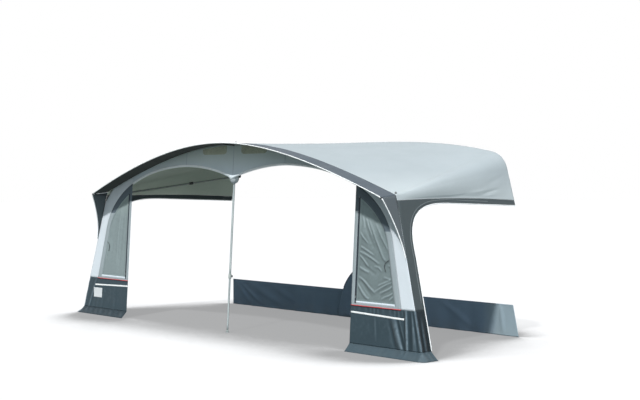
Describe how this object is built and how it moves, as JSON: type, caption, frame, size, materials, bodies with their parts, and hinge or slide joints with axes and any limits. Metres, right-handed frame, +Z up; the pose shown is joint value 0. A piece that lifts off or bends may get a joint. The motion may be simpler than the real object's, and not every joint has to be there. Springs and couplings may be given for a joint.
{
  "type": "caravan awning",
  "caption": "Open-fronted porch awning for a touring caravan: arched roof with a visor, two windowed front legs, open sides, a telescopic pole frame and an under-caravan draught skirt",
  "frame": {"origin": "top of the awning rail at the middle of the caravan's wall; the ground is 2.52 m below it", "axes": "+X along the caravan, to the right as seen from the front; +Y from the front of the awning towards the caravan; +Z up"},
  "size_m": [7.02, 2.5724, 2.5198],
  "materials": {
    "roof_cloth": "pale grey coated polyester, a little shiny",
    "band_cloth": "mid grey coated polyester",
    "skirt_cloth": "dark slate coated polyester",
    "white_binding": "white piping and binding, satin",
    "white_panel": "off-white coated polyester",
    "strip_cloth": "light grey coated strip",
    "curtain_cloth": "grey privacy curtain with soft folds",
    "vent_mesh": "dark fine mesh",
    "red_piping": "thin red piping",
    "zip_tape": "black woven tape and elastic",
    "label_patch": "blank pale patch",
    "draught_cloth": "dark navy coated polyester",
    "pole_steel": "bright plated steel tube",
    "black_fitting": "black moulded nylon"
  },
  "bodies": {
    "awning": {"roof_left": "roof_cloth", "roof_centre": "roof_cloth", "roof_right": "roof_cloth", "visor": "band_cloth", "gusset_left": "band_cloth", "gusset_right": "band_cloth", "side_panel_left": "band_cloth", "side_panel_right": "band_cloth", "skirt_left": "skirt_cloth", "skirt_right": "skirt_cloth", "mud_flap_left": "skirt_cloth", "mud_flap_right": "skirt_cloth", "visor_piping": "white_binding", "rail_bead": "white_binding", "centre_cup": "white_binding", "opening_piping_left": "white_binding", "opening_piping_right": "white_binding", "valance": "white_panel", "leg_panel_left": "white_panel", "leg_panel_right": "white_panel", "valance_hem": "strip_cloth", "window_frame_left": "strip_cloth", "window_frame_right": "strip_cloth", "curtain_left": "curtain_cloth", "curtain_right": "curtain_cloth", "vent_left": "vent_mesh", "vent_right": "vent_mesh", "red_piping_left": "red_piping", "red_piping_right": "red_piping", "zip_tape_left": "zip_tape", "zip_tape_right": "zip_tape", "curtain_tie_left": "zip_tape", "curtain_tie_right": "zip_tape", "label_patch": "label_patch", "draught_skirt": "draught_cloth", "wheel_cover": "draught_cloth", "arch_pole_left": "pole_steel", "arch_pole_right": "pole_steel", "upright_centre": "pole_steel", "upright_left": "pole_steel", "upright_right": "pole_steel", "rafter_left": "pole_steel", "rafter_right": "pole_steel", "corner_joint_left": "black_fitting", "corner_joint_right": "black_fitting", "centre_joint": "black_fitting", "visor_strut_centre": "black_fitting", "visor_strut_left": "black_fitting", "visor_strut_right": "black_fitting"},
    "foot_centre": {"upright_foot_centre": "pole_steel"},
    "knob_centre": {"clamp_knob_centre": "black_fitting"},
    "foot_left": {"upright_foot_left": "pole_steel"},
    "knob_left": {"clamp_knob_left": "black_fitting"},
    "foot_right": {"upright_foot_right": "pole_steel"},
    "knob_right": {"clamp_knob_right": "black_fitting"},
    "rafter_end_left": {"rafter_end_left": "pole_steel"},
    "slider_left": {"zip_slider_left": "black_fitting"},
    "rafter_end_right": {"rafter_end_right": "pole_steel"},
    "slider_right": {"zip_slider_right": "black_fitting"}
  },
  "joints": [
    {"name": "foot_centre_slide", "type": "slide", "parent": "awning", "child": "foot_centre", "axis": [0, 0.0609, 0.9981], "range_m": [-0.25, 0.55]},
    {"name": "knob_centre_turn", "type": "hinge", "parent": "awning", "child": "knob_centre", "pos_m": [0, -2.33557, -1.79135], "axis": [0, 0.9981, -0.0609], "range_deg": [0, 90]},
    {"name": "foot_left_slide", "type": "slide", "parent": "awning", "child": "foot_left", "axis": [0.2712, 0.051, 0.9612], "range_m": [-0.25, 0.55]},
    {"name": "knob_left_turn", "type": "hinge", "parent": "awning", "child": "knob_left", "pos_m": [-3.18203, -2.3228, -1.81834], "axis": [0.9625, -0.0144, -0.2708], "range_deg": [0, 90]},
    {"name": "foot_right_slide", "type": "slide", "parent": "awning", "child": "foot_right", "axis": [-0.2712, 0.051, 0.9612], "range_m": [-0.25, 0.55]},
    {"name": "knob_right_turn", "type": "hinge", "parent": "awning", "child": "knob_right", "pos_m": [3.18203, -2.3228, -1.81834], "axis": [-0.9625, -0.0144, -0.2708], "range_deg": [0, 90]},
    {"name": "rafter_left_slide", "type": "slide", "parent": "awning", "child": "rafter_end_left", "axis": [0.1112, 0.9856, 0.1276], "range_m": [-0.45, 0.2]},
    {"name": "zip_left_slide", "type": "slide", "parent": "awning", "child": "slider_left", "axis": [0, 0.0609, 0.9981], "range_m": [0, 1.05]},
    {"name": "rafter_right_slide", "type": "slide", "parent": "awning", "child": "rafter_end_right", "axis": [-0.1112, 0.9856, 0.1276], "range_m": [-0.45, 0.2]},
    {"name": "zip_right_slide", "type": "slide", "parent": "awning", "child": "slider_right", "axis": [0, 0.0609, 0.9981], "range_m": [0, 1.05]}
  ]
}
